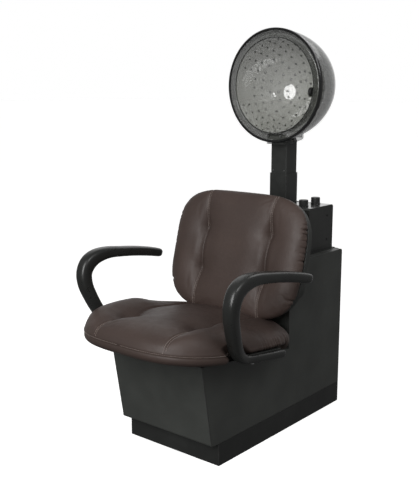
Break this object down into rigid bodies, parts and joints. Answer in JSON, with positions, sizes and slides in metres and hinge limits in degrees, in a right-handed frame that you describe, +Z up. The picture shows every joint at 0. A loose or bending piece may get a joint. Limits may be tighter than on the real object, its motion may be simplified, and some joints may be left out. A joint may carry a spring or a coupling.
{
  "type": "hooded dryer chair",
  "caption": "Hooded hair dryer chair: padded armchair on a laminated cabinet, telescopic duct mast with a control box, and a clear double-walled hood that tilts.",
  "frame": {"origin": "centre of the plinth's footprint, on the floor", "axes": "+Z up, the sitter faces -Y, +X is the sitter's left"},
  "size_m": [0.719, 1.077, 1.432],
  "materials": {
    "laminate": "black satin laminate with a fine pebble grain",
    "raw_board": "bare particle board and plywood",
    "leather": "dark brown upholstery with double top stitching",
    "shell_plastic": "textured black moulding",
    "arm_urethane": "black skinned urethane, satin",
    "black_steel": "black powder coat, satin",
    "galvanised": "galvanised sheet",
    "motor_steel": "grey enamel",
    "bright_steel": "zinc plated",
    "black_screws": "blackened steel",
    "fan_aluminium": "pressed sheet",
    "mica": "mica and moulded phenolic",
    "heater_wire": "resistance wire",
    "nylon": "natural nylon",
    "black_plastic": "black moulding, satin",
    "black_rubber": "moulded rubber",
    "smoke_plastic": "clear moulding with a smoke grey tint"
  },
  "bodies": {
    "chair_base": {"plinth_frame": "laminate", "plinth_bottom_board": "raw_board", "cabinet_floor": "raw_board", "left_side_panel": "laminate", "right_side_panel": "laminate", "front_panel": "laminate", "back_panel": "laminate", "seat_deck": "laminate", "riser_front_panel": "laminate", "riser_top_panel": "laminate", "intake_grille": "black_steel", "cord_grommet": "black_rubber", "seat_rails": "black_steel", "seat_board": "raw_board", "seat_cushion": "leather", "back_brackets": "black_steel", "back_board": "raw_board", "back_shell": "shell_plastic", "back_cushion": "leather", "back_support_cover": "shell_plastic", "back_screws": "bright_steel", "left_arm": "arm_urethane", "right_arm": "arm_urethane", "arm_plates": "black_steel", "arm_bolts": "bright_steel", "blower_housing": "galvanised", "blower_motor": "motor_steel", "motor_plate": "galvanised", "heater_duct": "galvanised", "heater_frame": "mica", "heater_coil": "heater_wire", "thermostat": "mica", "mast_sleeve": "black_steel", "sleeve_guides": "nylon", "control_box_wrap": "black_steel", "control_box_left_end": "black_steel", "control_box_right_end": "black_steel", "control_box_flange": "black_steel", "control_box_screws": "black_screws", "timer_body": "mica", "heat_switch_body": "black_plastic"},
    "mast": {"mast_tube": "black_steel", "mast_screws": "bright_steel"},
    "hood": {"hood_outer_shell": "smoke_plastic", "hood_inner_bowl": "smoke_plastic", "hood_rim_ring": "smoke_plastic", "hood_edge_trim": "black_plastic", "hood_neck": "smoke_plastic", "hood_mount_block": "black_plastic", "hood_screws": "bright_steel", "hood_pivot_pin": "bright_steel", "hood_washers": "nylon", "hood_sensor_cap": "black_plastic"},
    "timer_dial": {"timer_knob": "black_plastic", "timer_shaft": "bright_steel"},
    "heat_dial": {"heat_knob": "black_plastic", "heat_switch_shaft": "bright_steel"},
    "blower_rotor": {"blower_impeller": "fan_aluminium", "motor_shaft": "bright_steel"}
  },
  "joints": [
    {"name": "mast_slide", "type": "slide", "parent": "chair_base", "child": "mast", "axis": [0, 0, 1], "range_m": [-0.06, 0.09]},
    {"name": "hood_tilt", "type": "hinge", "parent": "mast", "child": "hood", "pos_m": [0, 0.2645, 1.031], "axis": [1, 0, 0], "range_deg": [0, 30]},
    {"name": "timer_knob_turn", "type": "hinge", "parent": "chair_base", "child": "timer_dial", "pos_m": [0.113, 0.2335, 0.786], "axis": [0, 0, -1], "range_deg": [0, 300]},
    {"name": "heat_knob_turn", "type": "hinge", "parent": "chair_base", "child": "heat_dial", "pos_m": [0.108, 0.3235, 0.786], "axis": [0, 0, -1], "range_deg": [0, 270]},
    {"name": "impeller_spin", "type": "hinge", "parent": "chair_base", "child": "blower_rotor", "pos_m": [0, 0.2005, 0.43], "axis": [1, 0, 0], "continuous": true}
  ]
}
